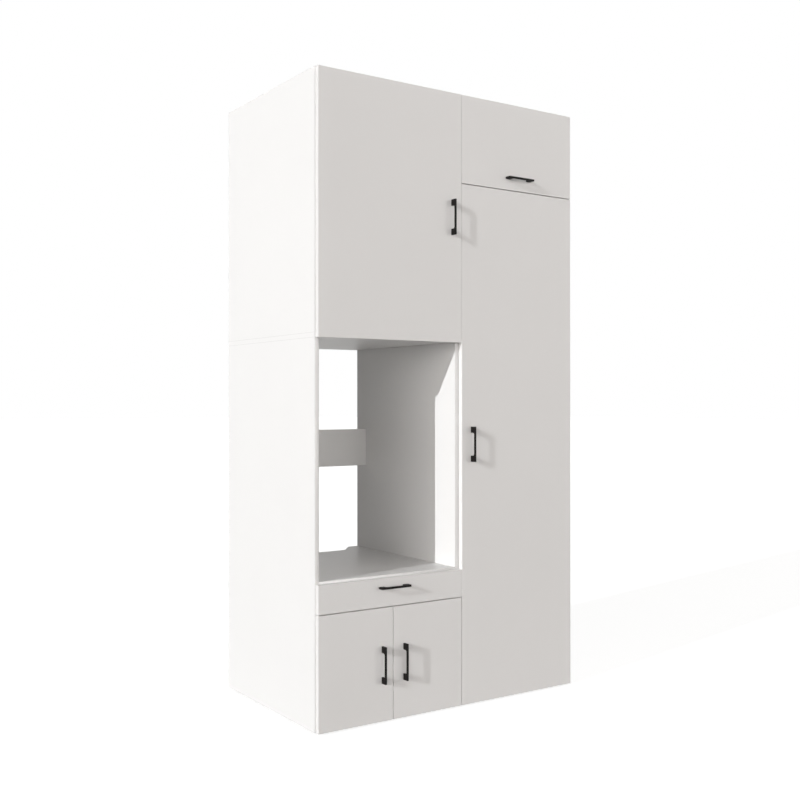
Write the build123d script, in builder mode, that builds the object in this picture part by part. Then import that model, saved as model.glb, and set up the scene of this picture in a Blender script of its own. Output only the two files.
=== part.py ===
from build123d import *
import os

os.makedirs("parts", exist_ok=True)

# A washing machine cabinet: two columns of white boards on low glides.
# Left column: washer unit (two doors, a drawer, an open niche) under a one-door cabinet.
# Right column: tall one-door unit under a loft box with a top-hinged flap.
# Origin: on the floor, at the centre of the overall box. X right, Y to the back, Z up.

# Overall sizes
LEFT_WIDTH = 684.0
RIGHT_WIDTH = 612.0
DEPTH = 620.0
FOOT_HEIGHT = 8.0

# Thickness of the boards
BOARD = 18.0
FRONT_BOARD = 18.0
BACK_BOARD = 4.0
DRAWER_BOARD = 16.0
DRAWER_BASE = 4.0

# Levels above the floor
NICHE_FLOOR_TOP = 548.0
NICHE_HEIGHT = 880.0
BASE_DOOR_LEVEL = 432.0
TALL_UNIT_TOP = 2050.0
LOFT_HEIGHT = 350.0

# Gaps round the fronts; the two columns' fronts all but meet, and a hinged edge there stands back
REVEAL = 3.0
MIDDLE_REVEAL = 1.0
SWING_SPACE = 2.2
FRONT_GAP = 2.0
EDGE_ROUND = 1.5
DRAWER_FRONT_DROP = 8.0

# Niche: the rail across its open back and the hose notch in its floor
RAIL_HEIGHT = 160.0
RAIL_UNDERSIDE = 915.0
RAIL_FROM_REAR = 45.0
NOTCH_DEPTH = 68.0
NOTCH_TAB = 51.0

# Back boards in their grooves, and the fixing rails behind them
BACK_FROM_REAR = 18.0
GROOVE_DEPTH = 8.0
GROOVE_PLAY = 0.1
BASE_BACK_SPACE = 18.0
FIXING_RAIL_HEIGHT = 80.0
FIXING_HOLE_RADIUS = 3.0
FIXING_HOLE_INSET = 80.0

# Shelves on pins
UPPER_SHELVES = 2
TALL_SHELVES = 4
SHELF_SETBACK = 22.0
SHELF_PLAY = 1.0
PIN_RADIUS = 2.5
PIN_BITE = 8.0
PIN_REACH = 9.0
PIN_PLAY = 0.05
PIN_INSET = 60.0

# Bow handles and their screws
HANDLE_LENGTH = 138.0
HANDLE_CENTRES = 128.0
HANDLE_WIDTH = 8.0
HANDLE_REACH = 22.0
HANDLE_BAR = 5.0
HANDLE_POST = 24.0
HANDLE_CHAMFER = 4.0
HANDLE_EDGE_INSET = 50.0
FLAP_HANDLE_RISE = 48.0
DRAWER_HANDLE_DROP = 34.0
SCREW_RADIUS = 2.0
SCREW_BITE = 10.0
SCREW_PLAY = 0.05
SCREW_HOLE_RADIUS = 2.25
SCREW_HEAD_RADIUS = 3.8
SCREW_HEAD_HEIGHT = 1.6

# Concealed hinges, each in its own section: u runs inward from the outer edge of the
# unit, v to the back from the front edge of its boards, and the pins run across
ARM_PIN_U = 30.0
ARM_PIN_V = 4.0
ARM_PIN_RADIUS = 1.5
CUP_PIN_U = 11.0
CUP_PIN_V = -8.0
CUP_PIN_RADIUS = 1.2
HINGE_PIN_PLAY = 0.1
CUP_RADIUS = 17.5
CUP_WALL = 1.0
CUP_DEPTH = 14.0
CUP_CENTRE_U = 23.0
CUP_PLAY = 0.1
EAR_THICKNESS = 1.0
EAR_WIDTH = 12.0
EAR_REACH = 26.0
EAR_CENTRE_U = 28.0
LINK_THICKNESS = 6.0
LINK_WIDTH = 3.5
LINK_BEND = 4.0
LINK_PLAY = 0.3
LINK_DIP = 4.0
FORK_THICKNESS = 2.7
ARM_EYE_RADIUS = 3.5
CUP_EYE_RADIUS = 2.7
ARM_END_V = 64.0
ARM_BODY_V = 10.0
ARM_PLATE = 2.0
ARM_PLATE_LENGTH = 32.0
ARM_PLATE_WIDTH = 52.0
HINGE_END_DISTANCE = 90.0
UPPER_HINGES = 3
TALL_HINGES = 5
BASE_HINGES = 2
FLAP_HINGES = 2

# Drawer box and its ball slides
SLIDE_SPACE = 13.0
SLIDE_HEIGHT = 45.0
SLIDE_LENGTH = 500.0
SLIDE_SHEET = 1.2
SLIDE_PLAY = 0.3
SLIDE_START = 4.0
SLIDE_FLANGE = 9.0
DRAWER_LENGTH = 500.0
DRAWER_BOX_HEIGHT = 78.0
DRAWER_TOP_SPACE = 6.0
DRAWER_BASE_LIFT = 10.0
DRAWER_GROOVE_DEPTH = 6.0

# Glides, cam locks and connecting bolts
GLIDE_RADIUS = 18.0
GLIDE_STEM_RADIUS = 4.0
GLIDE_STEM_LENGTH = 12.0
GLIDE_INSET = 50.0
HOLE_PLAY = 0.1
CAM_RADIUS = 7.5
CAM_DEPTH = 12.0
CAM_END_DISTANCE = 34.0
CAM_INSET = 110.0
BOLT_RADIUS = 4.0
BOLT_HEAD_RADIUS = 7.0
BOLT_HEAD = 1.5
BOLT_INSET = 100.0

# Places worked out from the sizes above
TOTAL_HEIGHT = TALL_UNIT_TOP + LOFT_HEIGHT
X_LEFT = -(LEFT_WIDTH + RIGHT_WIDTH) / 2
X_MID = X_LEFT + LEFT_WIDTH
X_RIGHT = X_MID + RIGHT_WIDTH
Y_FRONT = (FRONT_GAP + FRONT_BOARD + HANDLE_REACH - DEPTH) / 2
Y_REAR = Y_FRONT + DEPTH
Y_DOOR_BACK = Y_FRONT - FRONT_GAP
Y_DOOR_FACE = Y_DOOR_BACK - FRONT_BOARD
HALF_REVEAL = REVEAL / 2
Z_CEILING = NICHE_FLOOR_TOP + NICHE_HEIGHT
Z_WASHER_TOP = Z_CEILING + BOARD
DEPTH_SPAN = (Y_FRONT, Y_REAR)
FRONT_SPAN = (Y_DOOR_FACE, Y_DOOR_BACK)
BACK_SPAN = (Y_REAR - BACK_FROM_REAR - BACK_BOARD, Y_REAR - BACK_FROM_REAR)
Y_NOTCH = Y_REAR - NOTCH_DEPTH
BASE_BACK_SPAN = (Y_NOTCH - BASE_BACK_SPACE - BACK_BOARD, Y_NOTCH - BASE_BACK_SPACE)

FINISHED = []


def keep(piece, name):
    """Label a finished piece and put it on the list that is written at the end."""
    piece.label = name
    FINISHED.append(piece)


def middle(span):
    """Centre of a (low, high) span."""
    return (span[0] + span[1]) / 2


def length(span):
    """Length of a (low, high) span."""
    return span[1] - span[0]


def spread(low, high, count):
    """Evenly spaced values from low to high, both ends included."""
    return [low + (high - low) * step / (count - 1) for step in range(count)]


def grid(firsts, seconds):
    """Every pair of one value from each list."""
    return [(first, second) for first in firsts for second in seconds]


def slab(x, y, z, mode=Mode.ADD):
    """Join or cut a box between three (low, high) spans, on the part being built."""
    with BuildSketch(Plane.XY.offset(z[0])) as outline:
        with Locations((middle(x), middle(y))):
            Rectangle(length(x), length(y))
    extrude(outline.sketch, amount=length(z), mode=mode)


def rods(plane, points, radius, reach, mode=Mode.ADD):
    """Join or cut round bars that start on a plane at its 2D points and run reach far."""
    with BuildSketch(plane) as outline:
        with Locations(*points):
            Circle(radius)
    extrude(outline.sketch, amount=reach, mode=mode)


def across(x):
    """The plane at x that faces right; its 2D points are (y, z)."""
    return Plane.YZ.offset(x)


def along(y):
    """The plane at y that faces forward; its 2D points are (x, z)."""
    return Plane.XZ.offset(-y)


def level(z):
    """The level plane at z that faces up; its 2D points are (x, y)."""
    return Plane.XY.offset(z)


class Unit:
    """One carcass: the outer spans of its boards and what follows from them."""

    def __init__(self, x, z):
        self.x = x
        self.z = z
        self.left = (x[0], x[0] + BOARD)
        self.right = (x[1] - BOARD, x[1])
        self.inside = (x[0] + BOARD, x[1] - BOARD)
        self.top = (z[1] - BOARD, z[1])
        self.bottom = (z[0], z[0] + BOARD)
        self.room = (z[0] + BOARD, z[1] - BOARD)
        self.bolt_xs = (x[0] + BOLT_INSET, x[1] - BOLT_INSET)


WASHER = Unit((X_LEFT, X_MID), (FOOT_HEIGHT, Z_WASHER_TOP))
UPPER = Unit((X_LEFT, X_MID), (Z_WASHER_TOP, TOTAL_HEIGHT))
TALL = Unit((X_MID, X_RIGHT), (FOOT_HEIGHT, TALL_UNIT_TOP))
LOFT = Unit((X_MID, X_RIGHT), (TALL_UNIT_TOP, TOTAL_HEIGHT))
NICHE_FLOOR = (NICHE_FLOOR_TOP - BOARD, NICHE_FLOOR_TOP)

# Connecting bolts: across the joint of the two columns, and up through stacked boards
BOLT_YS = (Y_FRONT + BOLT_INSET, BASE_BACK_SPAN[0] - BOLT_INSET)
BASE_BOLT_Z = (FOOT_HEIGHT + BASE_DOOR_LEVEL) / 2
UPPER_BOLT_Z = Z_WASHER_TOP + BOLT_INSET
LOFT_BOLT_Z = middle(LOFT.z)

# Shelves, and the pins under them
SHELF_Y = (Y_FRONT + SHELF_SETBACK, BACK_SPAN[0] - SHELF_PLAY)
PIN_YS = (SHELF_Y[0] + PIN_INSET, SHELF_Y[1] - PIN_INSET)


def shelf_levels(unit, count):
    """Undersides of the shelves that divide a unit into equal compartments."""
    clear = (length(unit.room) - count * BOARD) / (count + 1)
    return [unit.room[0] + clear * n + BOARD * (n - 1) for n in range(1, count + 1)]


UPPER_LEVELS = shelf_levels(UPPER, UPPER_SHELVES)
TALL_LEVELS = shelf_levels(TALL, TALL_SHELVES)


def pin_points(levels):
    """Centres (y, z) of the shelf pins, which touch the undersides of the shelves."""
    return [(y, z - PIN_RADIUS) for y in PIN_YS for z in levels]


def side_board(unit, on_left, z, back, levels=(), bolt_z=None):
    """One upright side of a unit, with its groove, pin holes and bolt holes."""
    x = unit.left if on_left else unit.right
    face = x[1] if on_left else x[0]
    outward = -1 if on_left else 1
    with BuildPart() as side:
        slab(x, DEPTH_SPAN, z)
        groove_x = sorted((face, face + outward * (GROOVE_DEPTH + GROOVE_PLAY)))
        groove_y = (back[0][0] - GROOVE_PLAY, back[0][1] + GROOVE_PLAY)
        slab(groove_x, groove_y, back[1], Mode.SUBTRACT)
        if levels:
            bite = outward * (PIN_BITE + PIN_PLAY)
            rods(across(face), pin_points(levels), PIN_RADIUS + PIN_PLAY, bite, Mode.SUBTRACT)
        if bolt_z is not None:
            bores = grid(BOLT_YS, [bolt_z] if isinstance(bolt_z, float) else bolt_z)
            rods(across(x[0]), bores, BOLT_RADIUS + HOLE_PLAY, BOARD, Mode.SUBTRACT)
    return side.part


# Cam locks sit in one face of each board that lies between two sides
CAMS = []
CAM_YS = (Y_FRONT + CAM_INSET, Y_REAR - CAM_INSET)


def cross_board(unit, z, cams_on_top, bolted=False, glides=False):
    """A board between the sides of a unit, with cam pockets and any bolt or glide holes."""
    face = z[1] if cams_on_top else z[0]
    into = -1 if cams_on_top else 1
    cam_xs = (unit.inside[0] + CAM_END_DISTANCE, unit.inside[1] - CAM_END_DISTANCE)
    pockets = grid(cam_xs, CAM_YS)
    CAMS.append((face, into, pockets))
    with BuildPart() as board:
        slab(unit.inside, DEPTH_SPAN, z)
        pocket = into * (CAM_DEPTH + HOLE_PLAY)
        rods(level(face), pockets, CAM_RADIUS + HOLE_PLAY, pocket, Mode.SUBTRACT)
        if bolted:
            bores = grid(unit.bolt_xs, BOLT_YS)
            rods(level(z[0]), bores, BOLT_RADIUS + HOLE_PLAY, BOARD, Mode.SUBTRACT)
        if glides:
            stem = GLIDE_STEM_LENGTH + HOLE_PLAY
            bore = GLIDE_STEM_RADIUS + HOLE_PLAY
            rods(level(z[0]), glide_points(unit), bore, stem, Mode.SUBTRACT)
    return board.part


def glide_points(unit):
    """Places (x, y) of a unit's four glides."""
    xs = (unit.inside[0] + GLIDE_INSET, unit.inside[1] - GLIDE_INSET)
    return grid(xs, (Y_FRONT + GLIDE_INSET, Y_REAR - GLIDE_INSET))


# Washer unit
WASHER_SIDE_Z = (FOOT_HEIGHT, Z_CEILING)
BASE_ROOM_Z = (FOOT_HEIGHT + BOARD, NICHE_FLOOR[0])
BASE_BACK = (BASE_BACK_SPAN, BASE_ROOM_Z)
keep(side_board(WASHER, True, WASHER_SIDE_Z, BASE_BACK), "washer_side_left")
keep(side_board(WASHER, False, WASHER_SIDE_Z, BASE_BACK, bolt_z=BASE_BOLT_Z), "washer_side_right")
keep(cross_board(WASHER, WASHER.bottom, cams_on_top=True, glides=True), "base_bottom")

with BuildPart() as ceiling:
    slab(WASHER.x, DEPTH_SPAN, (Z_CEILING, Z_WASHER_TOP))
    rods(level(Z_CEILING), grid(UPPER.bolt_xs, BOLT_YS), BOLT_RADIUS + HOLE_PLAY, BOARD, Mode.SUBTRACT)
keep(ceiling.part, "washer_ceiling")

FLOOR_BOARD = cross_board(WASHER, NICHE_FLOOR, cams_on_top=False)
with BuildPart() as niche_floor:
    add(FLOOR_BOARD)
    with BuildSketch(level(NICHE_FLOOR[0])) as notch:
        with BuildLine():
            rear = (WASHER.inside[0] + NOTCH_TAB, WASHER.inside[1] - NOTCH_TAB)
            deep = (rear[0] + NOTCH_DEPTH, rear[1] - NOTCH_DEPTH)
            Polyline(
                (rear[0], Y_REAR),
                (deep[0], Y_NOTCH),
                (deep[1], Y_NOTCH),
                (rear[1], Y_REAR),
                close=True,
            )
        make_face()
    extrude(amount=BOARD, mode=Mode.SUBTRACT)
keep(niche_floor.part, "washer_floor")

with BuildPart() as back_rail:
    rail_y = (Y_REAR - RAIL_FROM_REAR - BOARD, Y_REAR - RAIL_FROM_REAR)
    slab(WASHER.inside, rail_y, (RAIL_UNDERSIDE, RAIL_UNDERSIDE + RAIL_HEIGHT))
keep(back_rail.part, "washer_back_rail")


def back_board(unit, back, z, fixed=False):
    """A thin back board in the grooves of its unit, bored where the fixing screws pass."""
    x = (unit.inside[0] - GROOVE_DEPTH, unit.inside[1] + GROOVE_DEPTH)
    with BuildPart() as board:
        slab(x, back, z)
        if fixed:
            rods(along(back[1]), fixing_points(unit), FIXING_HOLE_RADIUS, BACK_BOARD, Mode.SUBTRACT)
    return board.part


def fixing_points(unit):
    """Places (x, z) of the two wall screws of a unit."""
    xs = (unit.inside[0] + FIXING_HOLE_INSET, unit.inside[1] - FIXING_HOLE_INSET)
    return grid(xs, [unit.room[1] - FIXING_RAIL_HEIGHT / 2])


keep(back_board(WASHER, BASE_BACK_SPAN, BASE_ROOM_Z), "base_back")


def fixing_rail(unit):
    """The rail behind the back board, under the top, that is screwed to the wall."""
    rail_z = (unit.room[1] - FIXING_RAIL_HEIGHT, unit.room[1])
    with BuildPart() as rail:
        slab(unit.inside, (BACK_SPAN[1], Y_REAR), rail_z)
        reach = length((BACK_SPAN[1], Y_REAR))
        rods(along(Y_REAR), fixing_points(unit), FIXING_HOLE_RADIUS, reach, Mode.SUBTRACT)
    return rail.part


def shelves(unit, levels):
    """The loose shelves of a unit, one solid for each."""
    x = (unit.inside[0] + SHELF_PLAY, unit.inside[1] - SHELF_PLAY)
    with BuildPart() as group:
        for z in levels:
            slab(x, SHELF_Y, (z, z + BOARD))
    return group.part


# Upper cabinet, tall unit and loft box
UPPER_BACK = (BACK_SPAN, UPPER.room)
TALL_BACK = (BACK_SPAN, TALL.room)
LOFT_BACK = (BACK_SPAN, LOFT.room)
UPPER_BOLTS = (UPPER_BOLT_Z, LOFT_BOLT_Z)
TALL_BOLTS = (BASE_BOLT_Z, UPPER_BOLT_Z)
keep(side_board(UPPER, True, UPPER.z, UPPER_BACK, UPPER_LEVELS), "upper_side_left")
keep(side_board(UPPER, False, UPPER.z, UPPER_BACK, UPPER_LEVELS, UPPER_BOLTS), "upper_side_right")
keep(cross_board(UPPER, UPPER.top, cams_on_top=False), "upper_top")
keep(cross_board(UPPER, UPPER.bottom, cams_on_top=True, bolted=True), "upper_bottom")
keep(back_board(UPPER, BACK_SPAN, UPPER.room, fixed=True), "upper_back")
keep(fixing_rail(UPPER), "upper_fixing_rail")
keep(shelves(UPPER, UPPER_LEVELS), "upper_shelves")

keep(side_board(TALL, True, TALL.z, TALL_BACK, TALL_LEVELS, TALL_BOLTS), "tall_side_left")
keep(side_board(TALL, False, TALL.z, TALL_BACK, TALL_LEVELS), "tall_side_right")
keep(cross_board(TALL, TALL.top, cams_on_top=False, bolted=True), "tall_top")
keep(cross_board(TALL, TALL.bottom, cams_on_top=True, glides=True), "tall_bottom")
keep(back_board(TALL, BACK_SPAN, TALL.room), "tall_back")
keep(shelves(TALL, TALL_LEVELS), "tall_shelves")

keep(side_board(LOFT, True, LOFT.z, LOFT_BACK, bolt_z=LOFT_BOLT_Z), "loft_side_left")
keep(side_board(LOFT, False, LOFT.z, LOFT_BACK), "loft_side_right")
keep(cross_board(LOFT, LOFT.top, cams_on_top=False), "loft_top")
keep(cross_board(LOFT, LOFT.bottom, cams_on_top=True, bolted=True), "loft_bottom")
keep(back_board(LOFT, BACK_SPAN, LOFT.room, fixed=True), "loft_back")
keep(fixing_rail(LOFT), "loft_fixing_rail")

# Small parts of the carcass
with BuildPart() as cam_locks:
    for cam_face, cam_into, cam_places in CAMS:
        rods(level(cam_face), cam_places, CAM_RADIUS, cam_into * CAM_DEPTH)
keep(cam_locks.part, "cam_locks")

with BuildPart() as glides:
    for unit in (WASHER, TALL):
        rods(level(0), glide_points(unit), GLIDE_RADIUS, FOOT_HEIGHT)
        rods(level(FOOT_HEIGHT), glide_points(unit), GLIDE_STEM_RADIUS, GLIDE_STEM_LENGTH)
keep(glides.part, "glides")

with BuildPart() as shelf_pins:
    for unit, levels in ((UPPER, UPPER_LEVELS), (TALL, TALL_LEVELS)):
        for face, outward in ((unit.inside[0], -1), (unit.inside[1], 1)):
            start = face + outward * PIN_BITE
            rods(across(start), pin_points(levels), PIN_RADIUS, -outward * (PIN_BITE + PIN_REACH))
keep(shelf_pins.part, "shelf_pins")


def connecting_bolts(plane, points):
    """Bolts through two boards that lie on each other, with a flat head on each side."""
    rods(plane.offset(-BOARD - BOLT_HEAD), points, BOLT_HEAD_RADIUS, BOLT_HEAD)
    rods(plane.offset(-BOARD), points, BOLT_RADIUS, 2 * BOARD)
    rods(plane.offset(BOARD), points, BOLT_HEAD_RADIUS, BOLT_HEAD)


with BuildPart() as unit_bolts:
    connecting_bolts(across(X_MID), grid(BOLT_YS, (BASE_BOLT_Z, UPPER_BOLT_Z, LOFT_BOLT_Z)))
    connecting_bolts(level(Z_WASHER_TOP), grid(UPPER.bolt_xs, BOLT_YS))
    connecting_bolts(level(TALL_UNIT_TOP), grid(LOFT.bolt_xs, BOLT_YS))
keep(unit_bolts.part, "unit_bolts")

# Fronts: the outer spans of the doors, the flap and the drawer front
LEFT_FRONT_X = (X_LEFT + HALF_REVEAL, X_MID - MIDDLE_REVEAL / 2)
RIGHT_FRONT_X = (X_MID + MIDDLE_REVEAL / 2, X_RIGHT - HALF_REVEAL)
BASE_SPLIT = middle((X_LEFT, X_MID))
UPPER_DOOR_Z = (Z_CEILING - HALF_REVEAL, TOTAL_HEIGHT - HALF_REVEAL)
TALL_DOOR_Z = (FOOT_HEIGHT + HALF_REVEAL, TALL_UNIT_TOP - HALF_REVEAL)
BASE_DOOR_Z = (FOOT_HEIGHT + HALF_REVEAL, BASE_DOOR_LEVEL - HALF_REVEAL)
FLAP_Z = (TALL_UNIT_TOP + HALF_REVEAL, TOTAL_HEIGHT - HALF_REVEAL)
DRAWER_FRONT_Z = (BASE_DOOR_LEVEL + HALF_REVEAL, NICHE_FLOOR_TOP - DRAWER_FRONT_DROP)


def hinge_plane(x, z, inward):
    """A hinge's section plane at the front outer edge of its unit; 2D points are (u, v)."""
    inward = Vector(*inward)
    return Plane(origin=(x, Y_FRONT, z), x_dir=inward, z_dir=inward.cross(Vector(0, 1, 0)))


def cup_plane(site, v):
    """The plane across a hinge's cup axis at depth v; 2D X runs inward from the cup centre."""
    centre = site.from_local_coords(Vector(CUP_CENTRE_U, v, 0))
    return Plane(origin=centre, x_dir=site.x_dir, z_dir=site.y_dir)


def side_hinges(x, inward, z, count):
    """Hinge planes up the edge of a side-hung door."""
    levels = spread(z[0] + HINGE_END_DISTANCE, z[1] - HINGE_END_DISTANCE, count)
    return [hinge_plane(x, height, inward) for height in levels]


def top_hinges(z, x, count):
    """Hinge planes along the top edge of a flap."""
    places = spread(x[0] + HINGE_END_DISTANCE, x[1] - HINGE_END_DISTANCE, count)
    return [hinge_plane(place, z, (0, 0, -1)) for place in places]


HINGES = {
    "upper_door": side_hinges(X_LEFT, (1, 0, 0), UPPER_DOOR_Z, UPPER_HINGES),
    "tall_door": side_hinges(X_RIGHT, (-1, 0, 0), TALL_DOOR_Z, TALL_HINGES),
    "base_door_left": side_hinges(X_LEFT, (1, 0, 0), BASE_DOOR_Z, BASE_HINGES),
    "base_door_right": side_hinges(X_MID, (-1, 0, 0), BASE_DOOR_Z, BASE_HINGES),
    "loft_flap": top_hinges(TOTAL_HEIGHT, RIGHT_FRONT_X, FLAP_HINGES),
}


def block(site, u, v, w, mode=Mode.ADD):
    """Join or cut a box given by spans in a hinge's own u, v and w directions."""
    with BuildSketch(site.offset(w[0])) as outline:
        with Locations((middle(u), middle(v))):
            Rectangle(length(u), length(v))
    extrude(outline.sketch, amount=length(w), mode=mode)


def hinge_arm(site):
    """Mounting plate, arm and fork with its pin, on the inside of the unit."""
    half_link = LINK_THICKNESS / 2
    fork_inner = half_link + LINK_PLAY
    fork_outer = fork_inner + FORK_THICKNESS
    arm_u = (BOARD + ARM_PLATE, ARM_PIN_U + ARM_EYE_RADIUS)
    fork_u = (ARM_PIN_U - ARM_EYE_RADIUS, ARM_PIN_U + ARM_EYE_RADIUS)
    plate_v = (ARM_END_V - ARM_PLATE_LENGTH, ARM_END_V)
    half_plate = ARM_PLATE_WIDTH / 2
    block(site, (BOARD, BOARD + ARM_PLATE), plate_v, (-half_plate, half_plate))
    block(site, arm_u, (ARM_BODY_V, ARM_END_V), (-fork_outer, fork_outer))
    for start in (-fork_outer, fork_inner):
        block(site, fork_u, (ARM_PIN_V, ARM_BODY_V), (start, start + FORK_THICKNESS))
        rods(site.offset(start), [(ARM_PIN_U, ARM_PIN_V)], ARM_EYE_RADIUS, FORK_THICKNESS)
    rods(site.offset(-fork_inner), [(ARM_PIN_U, ARM_PIN_V)], ARM_PIN_RADIUS, 2 * fork_inner)


def hinge_link(site):
    """The bent link between the arm's pin and the pin in the cup."""
    half_link = LINK_THICKNESS / 2
    low_v = CUP_PIN_V - LINK_DIP
    with BuildSketch(site.offset(-half_link)) as outline:
        with BuildLine():
            FilletPolyline(
                (CUP_PIN_U, CUP_PIN_V),
                (CUP_PIN_U + LINK_DIP, low_v),
                (ARM_PIN_U - 2 * LINK_DIP, low_v),
                (ARM_PIN_U, CUP_PIN_V / 2),
                (ARM_PIN_U, ARM_PIN_V),
                radius=LINK_BEND,
            )
            offset(amount=LINK_WIDTH / 2)
        make_face()
        with Locations((ARM_PIN_U, ARM_PIN_V)):
            Circle(ARM_EYE_RADIUS)
            Circle(ARM_PIN_RADIUS + HINGE_PIN_PLAY, mode=Mode.SUBTRACT)
        with Locations((CUP_PIN_U, CUP_PIN_V)):
            Circle(CUP_EYE_RADIUS)
            Circle(CUP_PIN_RADIUS + HINGE_PIN_PLAY, mode=Mode.SUBTRACT)
    extrude(outline.sketch, amount=LINK_THICKNESS)


def hinge_cup(site):
    """The pressed cup in the door, with its two ears and the pin across it."""
    rear_v = -FRONT_GAP
    floor_v = rear_v - CUP_DEPTH
    head_v = rear_v + EAR_THICKNESS
    rods(cup_plane(site, floor_v), [(0, 0)], CUP_RADIUS, CUP_DEPTH)
    ear_u = (EAR_CENTRE_U - EAR_WIDTH / 2, EAR_CENTRE_U + EAR_WIDTH / 2)
    block(site, ear_u, (rear_v, head_v), (-EAR_REACH, EAR_REACH))
    hollow = CUP_DEPTH + EAR_THICKNESS - CUP_WALL
    rods(cup_plane(site, floor_v + CUP_WALL), [(0, 0)], CUP_RADIUS - CUP_WALL, hollow, Mode.SUBTRACT)
    pin_half = CUP_RADIUS - 2 * LINK_DIP + CUP_WALL
    rods(site.offset(-pin_half), [(CUP_PIN_U, CUP_PIN_V)], CUP_PIN_RADIUS, 2 * pin_half)


def cup_bore(site):
    """The round pocket that takes a cup, cut into the back of a front."""
    deepest = -FRONT_GAP - CUP_DEPTH - CUP_PLAY
    rods(cup_plane(site, deepest), [(0, 0)], CUP_RADIUS + CUP_PLAY, CUP_DEPTH + CUP_PLAY, Mode.SUBTRACT)


with BuildPart() as hinge_arms:
    for sites in HINGES.values():
        for site in sites:
            hinge_arm(site)
keep(hinge_arms.part, "hinge_arms")


def handle_screws(centre, upright):
    """Places (x, z) of a handle's two screws."""
    half = HANDLE_CENTRES / 2
    step = (0, half) if upright else (half, 0)
    return [(centre[0] - step[0], centre[1] - step[1]), (centre[0] + step[0], centre[1] + step[1])]


def front_panel(x, z, handle, upright, sites=()):
    """A front board with rounded edges, its cup pockets and its two handle screw holes."""
    with BuildPart() as panel:
        slab(x, FRONT_SPAN, z)
        faces = panel.faces().sort_by(Axis.Y)
        fillet(faces[0].edges() + faces[-1].edges(), EDGE_ROUND)
        for site in sites:
            cup_bore(site)
        screws = handle_screws(handle, upright)
        rods(along(Y_DOOR_BACK), screws, SCREW_HOLE_RADIUS, FRONT_BOARD, Mode.SUBTRACT)
    return panel.part


def bow_handle(centre, upright):
    """A flat bow handle on a front, with the two screws that come through the board."""
    half = HANDLE_LENGTH / 2
    foot = half - HANDLE_POST
    neck = HANDLE_REACH - HANDLE_BAR
    turn = (0, 0, 1) if upright else (1, 0, 0)
    side = Vector(*turn).cross(Vector(0, -1, 0))
    with BuildPart() as bow:
        middle_plane = Plane(origin=(centre[0], Y_DOOR_FACE, centre[1]), x_dir=turn, z_dir=side)
        with BuildSketch(middle_plane):
            with BuildLine():
                Polyline(
                    (-half, 0),
                    (-foot, 0),
                    (-foot, neck - HANDLE_CHAMFER),
                    (-foot + HANDLE_CHAMFER, neck),
                    (foot - HANDLE_CHAMFER, neck),
                    (foot, neck - HANDLE_CHAMFER),
                    (foot, 0),
                    (half, 0),
                    (half, HANDLE_REACH),
                    (-half, HANDLE_REACH),
                    close=True,
                )
            make_face()
        extrude(amount=HANDLE_WIDTH / 2, both=True)
        screws = handle_screws(centre, upright)
        hole = SCREW_BITE + SCREW_PLAY
        rods(along(Y_DOOR_FACE), screws, SCREW_RADIUS + SCREW_PLAY, hole, Mode.SUBTRACT)
        rods(along(Y_DOOR_BACK), screws, SCREW_RADIUS, FRONT_BOARD + SCREW_BITE)
        rods(along(Y_DOOR_BACK), screws, SCREW_HEAD_RADIUS, -SCREW_HEAD_HEIGHT)
    return bow.part


FRONTS = {
    "upper_door": (
        LEFT_FRONT_X,
        UPPER_DOOR_Z,
        (LEFT_FRONT_X[1] - HANDLE_EDGE_INSET, middle(UPPER_DOOR_Z)),
        True,
    ),
    "tall_door": (
        RIGHT_FRONT_X,
        TALL_DOOR_Z,
        (RIGHT_FRONT_X[0] + HANDLE_EDGE_INSET, middle(TALL_DOOR_Z)),
        True,
    ),
    "base_door_left": (
        (LEFT_FRONT_X[0], BASE_SPLIT - HALF_REVEAL),
        BASE_DOOR_Z,
        (BASE_SPLIT - HALF_REVEAL - HANDLE_EDGE_INSET, middle(BASE_DOOR_Z)),
        True,
    ),
    "base_door_right": (
        (BASE_SPLIT + HALF_REVEAL, LEFT_FRONT_X[1] - SWING_SPACE),
        BASE_DOOR_Z,
        (BASE_SPLIT + HALF_REVEAL + HANDLE_EDGE_INSET, middle(BASE_DOOR_Z)),
        True,
    ),
    "loft_flap": (
        RIGHT_FRONT_X,
        FLAP_Z,
        (middle(RIGHT_FRONT_X), FLAP_Z[0] + FLAP_HANDLE_RISE),
        False,
    ),
}

for name, (x, z, handle, upright) in FRONTS.items():
    keep(front_panel(x, z, handle, upright, HINGES[name]), name)
    keep(bow_handle(handle, upright), name + "_handle")
    with BuildPart() as cups:
        for site in HINGES[name]:
            hinge_cup(site)
    keep(cups.part, name + "_cups")
    with BuildPart() as links:
        for site in HINGES[name]:
            hinge_link(site)
    keep(links.part, name + "_links")

# Drawer
DRAWER_HANDLE = (BASE_SPLIT, DRAWER_FRONT_Z[1] - DRAWER_HANDLE_DROP)
DRAWER_Z = (
    NICHE_FLOOR[0] - DRAWER_TOP_SPACE - DRAWER_BOX_HEIGHT,
    NICHE_FLOOR[0] - DRAWER_TOP_SPACE,
)
DRAWER_X = (WASHER.inside[0] + SLIDE_SPACE, WASHER.inside[1] - SLIDE_SPACE)
DRAWER_Y = (Y_DOOR_BACK, Y_DOOR_BACK + DRAWER_LENGTH)
DRAWER_INSIDE = (DRAWER_X[0] + DRAWER_BOARD, DRAWER_X[1] - DRAWER_BOARD)
DRAWER_BASE_Z = (DRAWER_Z[0] + DRAWER_BASE_LIFT, DRAWER_Z[0] + DRAWER_BASE_LIFT + DRAWER_BASE)

keep(front_panel(LEFT_FRONT_X, DRAWER_FRONT_Z, DRAWER_HANDLE, False), "drawer_front")
keep(bow_handle(DRAWER_HANDLE, False), "drawer_handle")


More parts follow.
